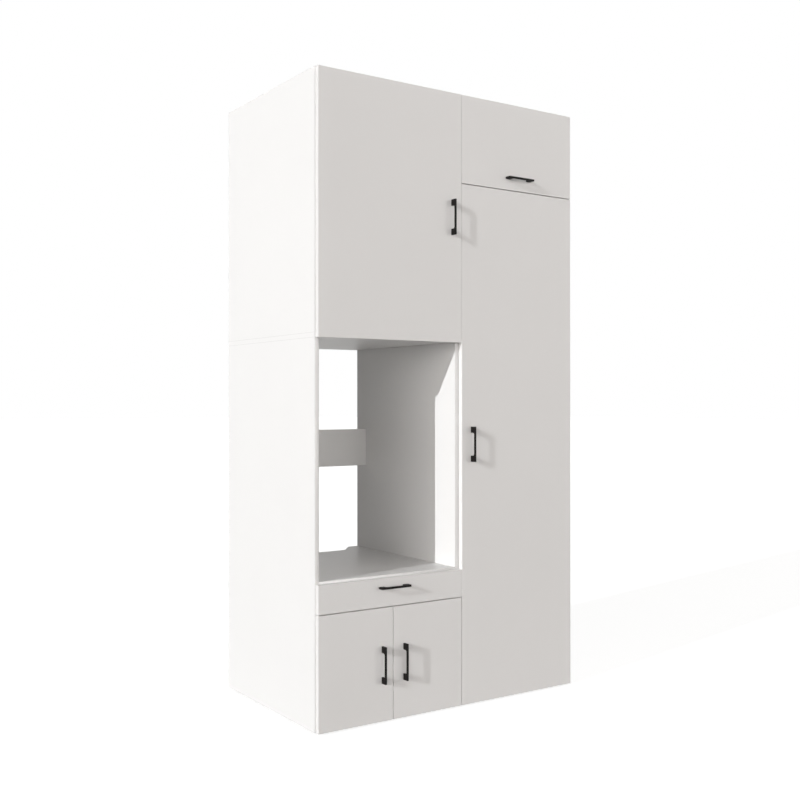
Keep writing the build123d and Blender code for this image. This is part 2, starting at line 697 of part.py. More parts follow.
def drawer_side(x, face, outward):
    """A side of the drawer box, grooved for the drawer base."""
    groove_x = sorted((face, face + outward * (DRAWER_GROOVE_DEPTH + GROOVE_PLAY)))
    groove_z = (DRAWER_BASE_Z[0] - GROOVE_PLAY, DRAWER_BASE_Z[1] + GROOVE_PLAY)
    with BuildPart() as side:
        slab(x, DRAWER_Y, DRAWER_Z)
        slab(groove_x, DRAWER_Y, groove_z, Mode.SUBTRACT)
    return side.part


keep(drawer_side((DRAWER_X[0], DRAWER_INSIDE[0]), DRAWER_INSIDE[0], -1), "drawer_side_left")
keep(drawer_side((DRAWER_INSIDE[1], DRAWER_X[1]), DRAWER_INSIDE[1], 1), "drawer_side_right")

with BuildPart() as drawer_back:
    slab(DRAWER_INSIDE, (DRAWER_Y[1] - DRAWER_BOARD, DRAWER_Y[1]), (DRAWER_BASE_Z[1], DRAWER_Z[1]))
keep(drawer_back.part, "drawer_back")

with BuildPart() as drawer_base:
    base_x = (DRAWER_INSIDE[0] - DRAWER_GROOVE_DEPTH, DRAWER_INSIDE[1] + DRAWER_GROOVE_DEPTH)
    slab(base_x, DRAWER_Y, DRAWER_BASE_Z)
keep(drawer_base.part, "drawer_base")

SLIDE_Y = (Y_FRONT + SLIDE_START, Y_FRONT + SLIDE_START + SLIDE_LENGTH)
SLIDE_FACES = ((WASHER.inside[0], 1), (WASHER.inside[1], -1))


def slide_member(face, inward, web_at, flange, half_height):
    """A C-shaped member: web_at and flange are spans inward from the carcass face."""
    web = sorted(face + inward * reach for reach in web_at)
    lips = sorted(face + inward * reach for reach in flange)
    z = middle(DRAWER_Z)
    slab(web, SLIDE_Y, (z - half_height, z + half_height))
    slab(lips, SLIDE_Y, (z + half_height - SLIDE_SHEET, z + half_height))
    slab(lips, SLIDE_Y, (z - half_height, z - half_height + SLIDE_SHEET))


OUTER_HALF = SLIDE_HEIGHT / 2
MID_HALF = OUTER_HALF - SLIDE_SHEET - SLIDE_PLAY
INNER_HALF = MID_HALF - SLIDE_SHEET - SLIDE_PLAY
MID_WEB = (SLIDE_SHEET + SLIDE_PLAY, 2 * SLIDE_SHEET + SLIDE_PLAY)
INNER_WEB = (SLIDE_SPACE - SLIDE_SHEET, SLIDE_SPACE)

with BuildPart() as drawer_rails:
    for face, inward in SLIDE_FACES:
        slide_member(face, inward, (0, SLIDE_SHEET), (0, SLIDE_FLANGE), OUTER_HALF)
keep(drawer_rails.part, "drawer_rails")

with BuildPart() as drawer_mid_slides:
    for face, inward in SLIDE_FACES:
        mid_flange = (MID_WEB[0], MID_WEB[0] + SLIDE_FLANGE)
        slide_member(face, inward, MID_WEB, mid_flange, MID_HALF)
keep(drawer_mid_slides.part, "drawer_mid_slides")

with BuildPart() as drawer_inner_slides:
    for face, inward in SLIDE_FACES:
        inner_flange = (SLIDE_SPACE - SLIDE_FLANGE, SLIDE_SPACE)
        slide_member(face, inward, INNER_WEB, inner_flange, INNER_HALF)
keep(drawer_inner_slides.part, "drawer_inner_slides")

for piece in FINISHED:
    export_step(piece, f"parts/{piece.label}.step")
print(len(FINISHED), "pieces written")
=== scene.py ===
"""Looks of a tall white cabinet round a washing machine niche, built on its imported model."""

import logging
import math
from dataclasses import dataclass, field
from enum import Enum

import bmesh
import bpy
from mathutils import Matrix, Vector


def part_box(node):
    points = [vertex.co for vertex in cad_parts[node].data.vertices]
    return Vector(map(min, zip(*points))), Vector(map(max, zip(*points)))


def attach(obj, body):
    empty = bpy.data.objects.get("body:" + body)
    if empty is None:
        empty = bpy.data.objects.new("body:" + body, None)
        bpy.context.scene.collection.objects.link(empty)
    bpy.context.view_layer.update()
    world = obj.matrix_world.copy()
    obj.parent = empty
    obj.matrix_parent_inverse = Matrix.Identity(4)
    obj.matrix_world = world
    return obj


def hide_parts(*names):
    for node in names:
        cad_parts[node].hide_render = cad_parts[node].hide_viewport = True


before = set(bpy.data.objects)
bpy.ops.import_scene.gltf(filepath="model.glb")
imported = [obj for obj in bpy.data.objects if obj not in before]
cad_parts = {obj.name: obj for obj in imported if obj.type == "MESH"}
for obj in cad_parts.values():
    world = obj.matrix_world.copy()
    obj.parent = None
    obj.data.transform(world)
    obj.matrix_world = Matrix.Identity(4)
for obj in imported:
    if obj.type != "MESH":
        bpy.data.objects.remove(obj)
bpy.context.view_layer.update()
LOG = logging.getLogger("cabinet")

Colour = tuple[float, float, float]
Triple = tuple[float, float, float]
Profile = list[tuple[float, float]]
Box = tuple[Vector, Vector]
MM = 0.001
WELD = 1e-6
FINE_WELD = 1e-7
HINGED = ("upper_door", "tall_door", "base_door_left", "base_door_right", "loft_flap")


def tint(red: int, green: int, blue: int) -> Colour:
    """Turn a display colour of 0 to 255 into the linear colour that shaders read.

    Args:
        red: Red part.
        green: Green part.
        blue: Blue part.

    Returns:
        The linear colour.
    """
    parts = [value / 255 for value in (red, green, blue)]
    linear = [p / 12.92 if p <= 0.04045 else ((p + 0.055) / 1.055) ** 2.4 for p in parts]
    return (linear[0], linear[1], linear[2])


class Bench:
    """A node tree that is being wired."""

    def __init__(self, tree: bpy.types.NodeTree) -> None:
        """Start on a tree.

        Args:
            tree: The material's, world's or group's node tree.
        """
        self.tree = tree

    def node(self, kind: str, **values: object) -> bpy.types.Node:
        """Add a node and set its options or feed its inputs.

        Args:
            kind: The node's type name.
            values: Options by their property name, or inputs by name with _ for a space.

        Returns:
            The new node.
        """
        made = self.tree.nodes.new(kind)
        for name, value in values.items():
            if hasattr(made, name):
                setattr(made, name, value)
            else:
                self.feed(made.inputs[name.replace("_", " ")], value)
        return made

    def feed(self, socket: bpy.types.NodeSocket, value: object) -> None:
        """Link an output to a socket, or set the socket's own value.

        Args:
            socket: The input socket.
            value: An output socket, or a number, colour or vector.
        """
        if isinstance(value, bpy.types.NodeSocket):
            self.tree.links.new(value, socket)
        elif isinstance(value, tuple) and socket.type == "RGBA":
            socket.default_value = (*value, 1.0)
        else:
            socket.default_value = value

    def math(self, operation: str, first: object, second: object) -> bpy.types.NodeSocket:
        """Work out one number from two.

        Args:
            operation: The sum, such as ADD.
            first: First number or output.
            second: Second number or output.

        Returns:
            The result's output.
        """
        made = self.tree.nodes.new("ShaderNodeMath")
        made.operation = operation
        self.feed(made.inputs[0], first)
        self.feed(made.inputs[1], second)
        return made.outputs[0]

    def blend(self, share: object, first: object, second: object) -> bpy.types.NodeSocket:
        """Mix two colours.

        Args:
            share: How much of the second.
            first: First colour or output.
            second: Second colour or output.

        Returns:
            The mixed colour's output.
        """
        made = self.tree.nodes.new("ShaderNodeMix")
        made.data_type = "RGBA"
        self.feed(made.inputs["Factor"], share)
        self.feed(made.inputs[6], first)
        self.feed(made.inputs[7], second)
        return made.outputs[2]

    def between(self, value: object, low: object, high: object) -> bpy.types.NodeSocket:
        """Spread a 0 to 1 value from low to high.

        Args:
            value: The value's output.
            low: Result at 0.
            high: Result at 1.

        Returns:
            The spread value's output.
        """
        made = self.node("ShaderNodeMapRange", Value=value, To_Min=low, To_Max=high)
        return made.outputs["Result"]

    def object_place(self) -> bpy.types.NodeSocket:
        """Place on the piece, in metres."""
        return self.node("ShaderNodeTexCoord").outputs["Object"]


class Effect(Enum):
    """Shader effects that several finishes share."""

    GRAIN = "pressed_grain"
    SMUDGE = "handling_smudge"
    WEAR_AND_HIGHLIGHT_EDGE = "wear_and_highlight_edge"
    CHIPBOARD = "raw_chipboard"
    JOINT = "joint_line"


class EffectShelf:
    """Builds each shared effect once, as a node group with named sockets."""

    pearls_per_metre: float = 900.0
    specks_per_metre: float = 420.0
    chips_per_metre: float = 330.0
    pearl_share: float = 0.6
    fibre_share: float = 0.45
    edge_gain: float = 5.0
    rear_limit: float = 0.9

    def __init__(self) -> None:
        """Start with no group made."""
        self.groups: dict[Effect, bpy.types.NodeTree] = {}

    def start(self, effect: Effect, takes: dict[str, object], gives: list[str]) -> Bench:
        """Open a new group.

        Args:
            effect: Which effect it is.
            takes: Number and vector inputs with their usual values.
            gives: Names of the outputs; Colour is a colour, and the rest are numbers.

        Returns:
            The bench of the group's tree.
        """
        tree = bpy.data.node_groups.new(effect.value, "ShaderNodeTree")
        for name, usual in takes.items():
            kind = "NodeSocketVector" if isinstance(usual, tuple) else "NodeSocketFloat"
            socket = tree.interface.new_socket(name, in_out="INPUT", socket_type=kind)
            socket.default_value = usual
        for name in gives:
            kind = "NodeSocketColor" if name == "Colour" else "NodeSocketFloat"
            tree.interface.new_socket(name, in_out="OUTPUT", socket_type=kind)
        self.groups[effect] = tree
        return Bench(tree)

    def grain(self) -> None:
        """Fine pearl texture of a pressed or sprayed skin, with broad soft tone changes."""
        bench = self.start(Effect.GRAIN, {"Scale": 1.0}, ["Height", "Tone"])
        scale = bench.node("NodeGroupInput").outputs["Scale"]
        place = bench.object_place()
        pearls = bench.math("MULTIPLY", scale, self.pearls_per_metre)
        pearl = bench.node(
            "ShaderNodeTexVoronoi", feature="SMOOTH_F1", Vector=place, Scale=pearls
        )
        specks = bench.math("MULTIPLY", scale, self.specks_per_metre)
        speck = bench.node("ShaderNodeTexNoise", Vector=place, Scale=specks, Detail=4.0)
        cloud = bench.node("ShaderNodeTexNoise", Vector=place, Scale=2.3, Detail=3.0)
        mixed = bench.math("MULTIPLY", pearl.outputs["Distance"], self.pearl_share)
        height = bench.math("ADD", mixed, speck.outputs["Fac"])
        bench.node("NodeGroupOutput", Height=height, Tone=cloud.outputs["Fac"])

    def smudge(self) -> None:
        """Roughness that changes where hands and cloths have been."""
        takes = {"Scale": 6.0, "Least": 0.35, "Most": 0.5}
        bench = self.start(Effect.SMUDGE, takes, ["Roughness"])
        taken = bench.node("NodeGroupInput").outputs
        patch = bench.node("ShaderNodeTexNoise", Scale=taken["Scale"], Detail=5.0, Distortion=0.6)
        bench.feed(patch.inputs["Vector"], bench.object_place())
        spread = bench.between(patch.outputs["Fac"], taken["Least"], taken["Most"])
        bench.node("NodeGroupOutput", Roughness=spread)

    def wear_and_highlight_edge(self) -> None:
        """Mask of outer edges, broken up by noise."""
        bench = self.start(Effect.WEAR_AND_HIGHLIGHT_EDGE, {"Width": 0.0008}, ["Mask"])
        width = bench.node("NodeGroupInput").outputs["Width"]
        soft = bench.node("ShaderNodeBevel", samples=4, Radius=width)
        true = bench.node("ShaderNodeNewGeometry")
        dot = bench.node("ShaderNodeVectorMath", operation="DOT_PRODUCT")
        bench.feed(dot.inputs[0], soft.outputs["Normal"])
        bench.feed(dot.inputs[1], true.outputs["Normal"])
        turn = bench.math("SUBTRACT", 1.0, dot.outputs["Value"])
        scratch = bench.node("ShaderNodeTexNoise", Scale=260.0, Detail=4.0)
        bench.feed(scratch.inputs["Vector"], bench.object_place())
        edge = bench.math("MULTIPLY", turn, self.edge_gain)
        broken = bench.math("MULTIPLY", edge, scratch.outputs["Fac"])
        bench.node("NodeGroupOutput", Mask=bench.math("MINIMUM", broken, 1.0))

    def chipboard(self) -> None:
        """Pressed wood chips, and a mask of the faces that look to the rear."""
        bench = self.start(Effect.CHIPBOARD, {"Scale": 1.0}, ["Colour", "Height", "Mask"])
        scale = bench.node("NodeGroupInput").outputs["Scale"]
        place = bench.object_place()
        scale = bench.math("MULTIPLY", scale, self.chips_per_metre)
        chips = bench.node("ShaderNodeTexVoronoi", Vector=place, Scale=scale, Randomness=1.0)
        fibre = bench.node("ShaderNodeTexNoise", Vector=place, Scale=900.0, Detail=3.0)
        pale = bench.blend(chips.outputs["Color"], tint(214, 190, 154), tint(176, 146, 108))
        shade = bench.blend(fibre.outputs["Fac"], tint(158, 130, 96), tint(222, 200, 166))
        true = bench.node("ShaderNodeNewGeometry")
        parts = bench.node("ShaderNodeSeparateXYZ", Vector=true.outputs["True Normal"])
        rear = bench.math("GREATER_THAN", parts.outputs["Y"], self.rear_limit)
        wood = bench.blend(self.fibre_share, pale, shade)
        height = chips.outputs["Distance"]
        bench.node("NodeGroupOutput", Colour=wood, Height=height, Mask=rear)

    def joint(self) -> None:
        """Hairline round a board, a set way in from its outline."""
        takes = {"Centre": (0.0, 0.0, 0.0), "Half": (1.0, 1.0, 1.0), "Inset": 0.0015}
        takes["Width"] = 0.00012
        bench = self.start(Effect.JOINT, takes, ["Mask"])
        taken = bench.node("NodeGroupInput").outputs
        offset = bench.node("ShaderNodeVectorMath", operation="SUBTRACT")
        bench.feed(offset.inputs[0], bench.object_place())
        bench.feed(offset.inputs[1], taken["Centre"])
        positive = bench.node("ShaderNodeVectorMath", operation="ABSOLUTE")
        bench.feed(positive.inputs[0], offset.outputs[0])
        inward = bench.node("ShaderNodeVectorMath", operation="SUBTRACT")
        bench.feed(inward.inputs[0], taken["Half"])
        bench.feed(inward.inputs[1], positive.outputs[0])
        parts = bench.node("ShaderNodeSeparateXYZ", Vector=inward.outputs[0])
        across, deep, high = (parts.outputs[axis] for axis in "XYZ")
        least = bench.math("MINIMUM", across, deep)
        most = bench.math("MAXIMUM", across, deep)
        to_edge = bench.math("MAXIMUM", least, bench.math("MINIMUM", most, high))
        away = bench.math("ABSOLUTE", bench.math("SUBTRACT", to_edge, taken["Inset"]), 0.0)
        bench.node("NodeGroupOutput", Mask=bench.math("LESS_THAN", away, taken["Width"]))

    def place(self, bench: Bench, effect: Effect, **values: object) -> bpy.types.NodeOutputs:
        """Put an effect into a material.

        Args:
            bench: The material's bench.
            effect: Which effect.
            values: Its inputs by name.

        Returns:
            The placed group's outputs.
        """
        if effect not in self.groups:
            getattr(self, effect.name.lower())()
        made = bench.tree.nodes.new("ShaderNodeGroup")
        made.node_tree = self.groups[effect]
        for name, value in values.items():
            bench.feed(made.inputs[name], value)
        return made.outputs


EFFECTS = EffectShelf()


def new_material(name: str) -> tuple[bpy.types.Material, Bench, bpy.types.Node]:
    """Make an empty material with its shader.

    Args:
        name: The material's name.

    Returns:
        The material, the bench of its tree and its shader node.
    """
    material = bpy.data.materials.new(name)
    material.use_nodes = True
    bench = Bench(material.node_tree)
    shader = material.node_tree.nodes["Principled BSDF"]
    return material, bench, shader


@dataclass(frozen=True)
class Relief:
    """How deep a fine texture stands on a surface."""

    strength: float
    distance: float
    eased_edge: float = 0.0

    def normal(self, bench: Bench, height: object) -> bpy.types.NodeSocket:
        """Wire the relief, over softly eased edges where it has them.

        Args:
            bench: The material's bench.
            height: The texture's height.

        Returns:
            The normal's output.
        """
        bump = bench.node("ShaderNodeBump", Strength=self.strength, Distance=self.distance)
        bench.feed(bump.inputs["Height"], height)
        if self.eased_edge:
            eased = bench.node("ShaderNodeBevel", samples=4, Radius=self.eased_edge)
            bench.feed(bump.inputs["Normal"], eased.outputs["Normal"])
        return bump.outputs["Normal"]


def skin_over(
    bench: Bench,
    shader: bpy.types.Node,
    colour: object,
    rough: object,
    normal: bpy.types.NodeSocket,
) -> None:
    """Feed a finish's colour, roughness and normal to its shader.

    Args:
        bench: The material's bench.
        shader: The material's shader.
        colour: The colour's output.
        rough: The roughness's output.
        normal: The normal's output.
    """
    bench.feed(shader.inputs["Base Color"], colour)
    bench.feed(shader.inputs["Roughness"], rough)
    bench.feed(shader.inputs["Normal"], normal)


def shade_of(colour: Colour, share: float, lift: float = 0.0) -> Colour:
    """Make a darker or lighter shade of a colour.

    Args:
        colour: The colour.
        share: What each part is multiplied by.
        lift: What is added to each part.

    Returns:
        The shade, at most full white.
    """
    red, green, blue = (min(1.0, part * share + lift) for part in colour)
    return (red, green, blue)


@dataclass(frozen=True)
class JointAndSeamShade:
    """A fine dark line round a board: the edging's joint on a front, and painted shade of the
    seams with its neighbours on a carcass board.
    """

    box: Box
    inset: float = 0.0
    width: float = 0.4
    depth: float = 0.3

    def mask(self, bench: Bench) -> bpy.types.NodeSocket:
        """Wire the line's mask.

        Args:
            bench: The material's bench.

        Returns:
            The mask's output.
        """
        low, high = self.box
        line = EFFECTS.place(
            bench,
            Effect.JOINT,
            Centre=(low + high) / 2,
            Half=(high - low) / 2,
            Inset=self.inset * MM,
            Width=self.width * MM,
        )
        return bench.math("MULTIPLY", line["Mask"], self.depth)


@dataclass(frozen=True)
class BoardFinish:
    """White melamine skin on chipboard, with a fine pearl texture."""

    name: str
    colour: Colour = tint(229, 228, 227)
    least_rough: float = 0.38
    most_rough: float = 0.5
    pearl: Relief = Relief(0.05, 0.0004, 0.0007)
    gloss: float = 0.3
    darkest: float = 0.965
    joint_and_seam_shade_colour: Colour = tint(70, 66, 62)
    raw_rear: bool = False
    line: JointAndSeamShade | None = None

    def make(self) -> bpy.types.Material:
        """Build the material."""
        material, bench, shader = new_material(self.name)
        grain = EFFECTS.place(bench, Effect.GRAIN, Scale=1.0)
        smudge = EFFECTS.place(
            bench, Effect.SMUDGE, Scale=5.0, Least=self.least_rough, Most=self.most_rough
        )
        skin = bench.blend(grain["Tone"], shade_of(self.colour, self.darkest), self.colour)
        rough = smudge["Roughness"]
        height = grain["Height"]
        # The line darkens the skin and presses a shallow groove: on a front the edging's joint,
        # on a carcass board painted shade in the seams with its neighbours.
        if self.line:
            line = self.line.mask(bench)
            skin = bench.blend(line, skin, self.joint_and_seam_shade_colour)
            height = bench.math("SUBTRACT", height, line)
        if self.raw_rear:
            chips = EFFECTS.place(bench, Effect.CHIPBOARD, Scale=1.0)
            skin = bench.blend(chips["Mask"], skin, chips["Colour"])
            rough = bench.math("MAXIMUM", rough, bench.math("MULTIPLY", chips["Mask"], 0.85))
            chip_height = bench.math("MULTIPLY", chips["Mask"], chips["Height"])
            height = bench.math("ADD", height, chip_height)
        skin_over(bench, shader, skin, rough, self.pearl.normal(bench, height))
        shader.inputs["Specular IOR Level"].default_value = self.gloss
        return material


@dataclass(frozen=True)
class LacquerFinish:
    """Thin fibreboard with a rolled white lacquer that lets the fibres show."""

    name: str
    colour: Colour = tint(224, 221, 216)
    fibre_colour: Colour = tint(150, 128, 100)
    fibre_share: float = 0.06
    darkest: float = 0.93
    rough: float = 0.5
    fibres: Relief = Relief(0.12, 0.0003)

    def make(self) -> bpy.types.Material:
        """Build the material."""
        material, bench, shader = new_material(self.name)
        place = bench.object_place()
        stretched = bench.node("ShaderNodeMapping", Vector=place, Scale=(1.0, 1.0, 0.18))
        fibre = bench.node("ShaderNodeTexNoise", Scale=700.0, Detail=5.0)
        bench.feed(fibre.inputs["Vector"], stretched.outputs["Vector"])
        grain = EFFECTS.place(bench, Effect.GRAIN, Scale=0.6)
        smudge = EFFECTS.place(
            bench, Effect.SMUDGE, Scale=4.0, Least=self.rough - 0.06, Most=self.rough + 0.1
        )
        skin = bench.blend(grain["Tone"], shade_of(self.colour, self.darkest), self.colour)
        shown = bench.math("MULTIPLY", fibre.outputs["Fac"], self.fibre_share)
        skin = bench.blend(shown, skin, self.fibre_colour)
        normal = self.fibres.normal(bench, fibre.outputs["Fac"])
        skin_over(bench, shader, skin, smudge["Roughness"], normal)
        return material


@dataclass(frozen=True)
class PowderCoatFinish:
    """Matt powder coat with a fine orange-peel skin, lighter along its edges: a little wear and a
    painted edge highlight.
    """

    name: str
    colour: Colour = tint(26, 24, 23)
    wear_and_highlight_colour: Colour = tint(58, 56, 54)
    peel: Relief = Relief(0.22, 0.0002)
    gloss: float = 0.1
    darkest: float = 0.75
    wear_and_highlight_share: float = 0.2

    def make(self) -> bpy.types.Material:
        """Build the material."""
        material, bench, shader = new_material(self.name)
        grain = EFFECTS.place(bench, Effect.GRAIN, Scale=2.2)
        smudge = EFFECTS.place(bench, Effect.SMUDGE, Scale=38.0, Least=0.4, Most=0.62)
        wear_and_highlight_mask = EFFECTS.place(bench, Effect.WEAR_AND_HIGHLIGHT_EDGE, Width=0.0006)
        skin = bench.blend(grain["Height"], shade_of(self.colour, self.darkest), self.colour)
        # Lighter edges: wear together with a painted edge highlight.
        wear_and_highlight_amount = bench.math("MULTIPLY", wear_and_highlight_mask["Mask"], self.wear_and_highlight_share)
        skin = bench.blend(wear_and_highlight_amount, skin, self.wear_and_highlight_colour)
        normal = self.peel.normal(bench, grain["Height"])
        skin_over(bench, shader, skin, smudge["Roughness"], normal)
        shader.inputs["Specular IOR Level"].default_value = self.gloss
        return material


@dataclass(frozen=True)
class PlatedFinish:
    """Plated pressed steel: drawn lines, soft spangle and brighter edges, part wear and part
    painted highlight.
    """

    name: str
    colour: Colour
    least_rough: float = 0.26
    most_rough: float = 0.44
    drawn: Triple = (1.0, 0.06, 1.0)
    scratches: Relief = Relief(0.08, 0.0001)
    darkest: float = 0.88
    brightest: float = 1.2
    wear_and_highlight_share: float = 0.6

    def make(self) -> bpy.types.Material:
        """Build the material."""
        material, bench, shader = new_material(self.name)
        place = bench.object_place()
        along = bench.node("ShaderNodeMapping", Vector=place, Scale=self.drawn)
        lines = bench.node("ShaderNodeTexNoise", Scale=1800.0, Detail=3.0)
        bench.feed(lines.inputs["Vector"], along.outputs["Vector"])
        smudge = EFFECTS.place(
            bench, Effect.SMUDGE, Scale=60.0, Least=self.least_rough, Most=self.most_rough
        )
        wear_and_highlight_mask = EFFECTS.place(bench, Effect.WEAR_AND_HIGHLIGHT_EDGE, Width=0.0004)
        dull = shade_of(self.colour, self.darkest)
        skin = bench.blend(lines.outputs["Fac"], dull, self.colour)
        # Brighter edges: wear together with a painted edge highlight.
        wear_and_highlight_amount = bench.math("MULTIPLY", wear_and_highlight_mask["Mask"], self.wear_and_highlight_share)
        skin = bench.blend(wear_and_highlight_amount, skin, shade_of(self.colour, self.brightest))
        normal = self.scratches.normal(bench, lines.outputs["Fac"])
        skin_over(bench, shader, skin, smudge["Roughness"], normal)
        shader.inputs["Metallic"].default_value = 1.0
        return material


@dataclass(frozen=True)
class MouldedFinish:
    """Moulded plastic with a lightly sparked surface."""

    name: str
    colour: Colour
    least_rough: float = 0.4
    most_rough: float = 0.55
    spark: Relief = Relief(0.15, 0.0002)
    darkest: float = 0.85
    brightest: float = 1.3
    lift: float = 0.01
    wear_and_highlight_share: float = 0.3

    def make(self) -> bpy.types.Material:
        """Build the material."""
        material, bench, shader = new_material(self.name)
        grain = EFFECTS.place(bench, Effect.GRAIN, Scale=1.6)
        smudge = EFFECTS.place(
            bench, Effect.SMUDGE, Scale=30.0, Least=self.least_rough, Most=self.most_rough
        )
        wear_and_highlight_mask = EFFECTS.place(bench, Effect.WEAR_AND_HIGHLIGHT_EDGE, Width=0.0005)
        skin = bench.blend(grain["Tone"], shade_of(self.colour, self.darkest), self.colour)
        # Lighter edges: wear together with a painted edge highlight.
        wear_and_highlight_amount = bench.math("MULTIPLY", wear_and_highlight_mask["Mask"], self.wear_and_highlight_share)
        skin = bench.blend(wear_and_highlight_amount, skin, shade_of(self.colour, self.brightest, self.lift))
        normal = self.spark.normal(bench, grain["Height"])
        skin_over(bench, shader, skin, smudge["Roughness"], normal)
        return material


def dress(node: str, material: bpy.types.Material) -> None:
    """Give a CAD node its finish.

    Args:
        node: The node's name.
        material: The finish.
    """
    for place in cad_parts[node].material_slots:
        place.material = material
    LOG.info("dressed %s with %s", node, material.name)


def solids_of(node: str) -> list[Box]:
    """Find the box of each separate solid of a CAD node.

    Args:
        node: The node's name.

    Returns:
        Lowest and highest corner of each solid, in metres.
    """
    shape = bmesh.new()
    shape.from_mesh(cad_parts[node].data)
    bmesh.ops.remove_doubles(shape, verts=shape.verts, dist=WELD)
    left = set(shape.verts)
    boxes = []
    while left:
        group = {left.pop()}
        edge = set(group)
        while edge:
            near = {e.other_vert(v) for v in edge for e in v.link_edges}
            edge = near & left
            group |= edge
            left -= edge
        low = Vector([min(v.co[i] for v in group) for i in range(3)])
        high = Vector([max(v.co[i] for v in group) for i in range(3)])
        boxes.append((low, high))
    shape.free()
    return sorted(boxes, key=lambda b: tuple(round(c, 5) for c in b[0]))


def turned(profile: Profile, steps: int = 24) -> bmesh.types.BMesh:
    """Spin a profile round the Z axis into a closed shape.

    Args:
        profile: Radius and height of each point in millimetres, from axis to axis.
        steps: Number of sides.

    Returns:
        The shape.
    """
    shape = bmesh.new()
    points = [shape.verts.new((radius * MM, 0.0, height * MM)) for radius, height in profile]
    edges = [shape.edges.new(pair) for pair in zip(points, points[1:])]
    bmesh.ops.spin(
        shape,
        geom=points + edges,
        cent=(0, 0, 0),
        axis=(0, 0, 1),
        angle=math.tau,
        steps=steps,
        use_merge=True,
    )
    bmesh.ops.remove_doubles(shape, verts=shape.verts, dist=FINE_WELD)
    bmesh.ops.recalc_face_normals(shape, faces=shape.faces)
    return shape


def block(low: Vector, high: Vector, ease: float = 0.0, segments: int = 2) -> bmesh.types.BMesh:
    """Make a box between two corners, with eased edges.

    Args:
        low: Lowest corner in metres.
        high: Highest corner in metres.
        ease: Width of the eased edges in millimetres.
        segments: Steps across each eased edge.

    Returns:
        The shape.
    """
    shape = bmesh.new()
    bmesh.ops.create_cube(shape, size=1.0)
    bmesh.ops.scale(shape, vec=high - low, verts=shape.verts)
    bmesh.ops.translate(shape, vec=(low + high) / 2, verts=shape.verts)
    if ease:
        soften(shape, ease, segments)
    return shape


def soften(shape: bmesh.types.BMesh, ease: float, segments: int = 2) -> None:
    """Ease every edge of a shape.

    Args:
        shape: The shape.
        ease: Width of the eased edges in millimetres.
        segments: Steps across each eased edge.
    """
    sharp = [e for e in shape.edges if len(e.link_faces) == 2 and e.calc_face_angle() > 0.3]
    bmesh.ops.bevel(
        shape,
        geom=sharp,
        offset=ease * MM,
        offset_type="OFFSET",
        segments=segments,
        profile=0.5,
        affect="EDGES",
        clamp_overlap=True,
        material=-1,
    )


class Drive(Enum):
    """Recess of a screw or bolt head."""

    CROSS = "cross"
    HEX = "hex"


def recess_outline(drive: Drive, reach: float) -> Profile:
    """Corners of a recess, round its centre.

    Args:
        drive: Which recess.
        reach: Half of its longest width in millimetres.

    Returns:
        Its corners in millimetres.
    """
    if drive is Drive.HEX:
        flat = reach * math.cos(math.pi / 6)
        spokes = [(flat if n % 2 else reach, math.tau * n / 12) for n in range(12)]
        return [(out * math.cos(turn), out * math.sin(turn)) for out, turn in spokes]
    arm = reach * 0.28
    quarter = [(reach, -arm), (reach, arm), (arm, arm)]
    corners = []
    for n in range(4):
        turn = Matrix.Rotation(math.pi / 2 * n, 2)
        corners += [tuple(turn @ Vector(corner)) for corner in quarter]
    return corners


def headed(profile: Profile, drive: Drive, reach: float, depth: float) -> bmesh.types.BMesh:
    """Make a screw or bolt head with a sunk recess in its top.

    Args:
        profile: Radius and height in millimetres, from the axis out and up to the rim.
        drive: Which recess.
        reach: Half of the recess's width in millimetres.
        depth: Depth of the recess in millimetres.

    Returns:
        The shape, with its top facing up.
    """
    shape = turned(profile, 24)
    rim = [e for e in shape.edges if len(e.link_faces) == 1]
    top = profile[-1][1]
    outline = recess_outline(drive, reach)
    corners = [shape.verts.new((x * MM, y * MM, top * MM)) for x, y in outline]
    loop = [shape.edges.new(pair) for pair in zip(corners, corners[1:] + corners[:1])]
    bmesh.ops.bridge_loops(shape, edges=rim + loop)
    sunk = bmesh.ops.extrude_edge_only(shape, edges=loop)["geom"]
    low = [v for v in sunk if isinstance(v, bmesh.types.BMVert)]
    bmesh.ops.translate(shape, vec=(0, 0, -depth * MM), verts=low)
    sunk_edges = [e for e in sunk if isinstance(e, bmesh.types.BMEdge)]
    floor = [e for e in sunk_edges if all(v in low for v in e.verts)]
    bmesh.ops.edgeloop_fill(shape, edges=floor)
    bmesh.ops.recalc_face_normals(shape, faces=shape.faces)
    return shape


def facing(point: Vector, direction: Vector) -> Matrix:
    """Stand a shape that was made upright on a point, looking another way.

    Args:
        point: Where its foot goes.
        direction: Where its top looks.

    Returns:
        The placing matrix.
    """
    turn = Vector((0, 0, 1)).rotation_difference(direction).to_matrix().to_4x4()
    return Matrix.Translation(point) @ turn


